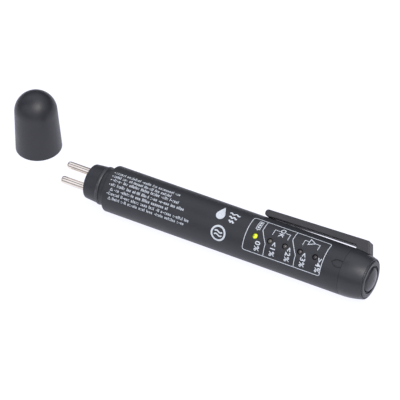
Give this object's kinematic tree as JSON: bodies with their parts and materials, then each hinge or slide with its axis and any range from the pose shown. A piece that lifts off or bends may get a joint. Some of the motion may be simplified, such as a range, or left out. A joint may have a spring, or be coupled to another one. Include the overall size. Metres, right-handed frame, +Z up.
{
  "type": "brake fluid moisture tester pen",
  "caption": "Pen-shaped tester with a pair of probe pins, a row of lamps, pocket clip, rear push button and a domed push-on cap standing beside it.",
  "frame": {"origin": "floor level under the middle of the laid-out pen and cap", "axes": "+X along the pen towards its push button, +Z up; the pen lies on the floor and the cap stands on its rim beyond the probe pins"},
  "size_m": [0.1916, 0.0408, 0.0303],
  "materials": {
    "body_plastic": "satin black moulded plastic",
    "cap_plastic": "satin black moulded plastic",
    "clip_plastic": "fine-grained black moulded plastic",
    "button_plastic": "satin black plastic",
    "seal_rubber": "black rubber",
    "nickel": "nickel plated",
    "steel": "zinc plated steel",
    "spring_steel": "drawn spring wire",
    "brass": "stamped brass",
    "wire_red": "red wire insulation",
    "wire_black": "black wire insulation",
    "silicone": "pale silicone",
    "inner_plastic": "dark grey moulded plastic",
    "board_green": "solder mask over glass laminate",
    "chip_epoxy": "moulded epoxy",
    "capacitor_can": "sleeved aluminium can",
    "cell_jacket": "plain printed steel jacket",
    "lens_green_lit": "lit lamp lens",
    "lens_yellow": "diffused lamp lens",
    "lens_red": "diffused lamp lens"
  },
  "bodies": {
    "pen_body": {"barrel": "body_plastic", "probe_head": "body_plastic", "neck_o_ring": "seal_rubber", "probe_pin_a": "nickel", "probe_pin_b": "nickel", "probe_lead_a": "wire_red", "probe_lead_b": "wire_black", "inner_seal": "silicone", "chassis": "inner_plastic", "circuit_board": "board_green", "board_screw_front": "steel", "board_screw_rear": "steel", "lamp_0_green": "lens_green_lit", "lamp_1_yellow_a": "lens_yellow", "lamp_2_yellow_b": "lens_yellow", "lamp_3_red_a": "lens_red", "lamp_4_red_b": "lens_red", "lamp_spacer": "inner_plastic", "comparator_chip": "chip_epoxy", "resistor_a": "chip_epoxy", "resistor_b": "chip_epoxy", "resistor_c": "chip_epoxy", "capacitor": "capacitor_can", "battery_cell": "cell_jacket", "positive_plate": "nickel", "positive_spring": "spring_steel", "return_contact": "brass"},
    "rear_cover": {"rear_cover": "body_plastic", "cover_seal": "seal_rubber", "contact_ring": "brass", "spring_seat": "brass", "button_spring": "spring_steel"},
    "button": {"push_button": "button_plastic", "contact_plunger": "brass"},
    "clip": {"pocket_clip": "clip_plastic"},
    "cap": {"protective_cap": "cap_plastic"}
  },
  "joints": [
    {"name": "cover_pull", "type": "slide", "parent": "pen_body", "child": "rear_cover", "axis": [1, 0, 0], "range_m": [0, 0.03]},
    {"name": "button_press", "type": "slide", "parent": "rear_cover", "child": "button", "axis": [-1, 0, 0], "range_m": [0, 0.0012], "stiffness_N_per_m": 400, "springref_m": -0.001, "deforming": ["button_spring"]},
    {"name": "clip_flex", "type": "hinge", "parent": "rear_cover", "child": "clip", "pos_m": [0.08937, -0.00131, 0.01688], "axis": [0, 0.5948, -0.8039], "range_deg": [0, 4], "stiffness_Nm_per_rad": 3, "springref_deg": -2.86},
    {"name": "cap_lift", "type": "slide", "parent": "pen_body", "child": "cap", "axis": [0, 0, 1], "range_m": [0, 0.05]}
  ]
}
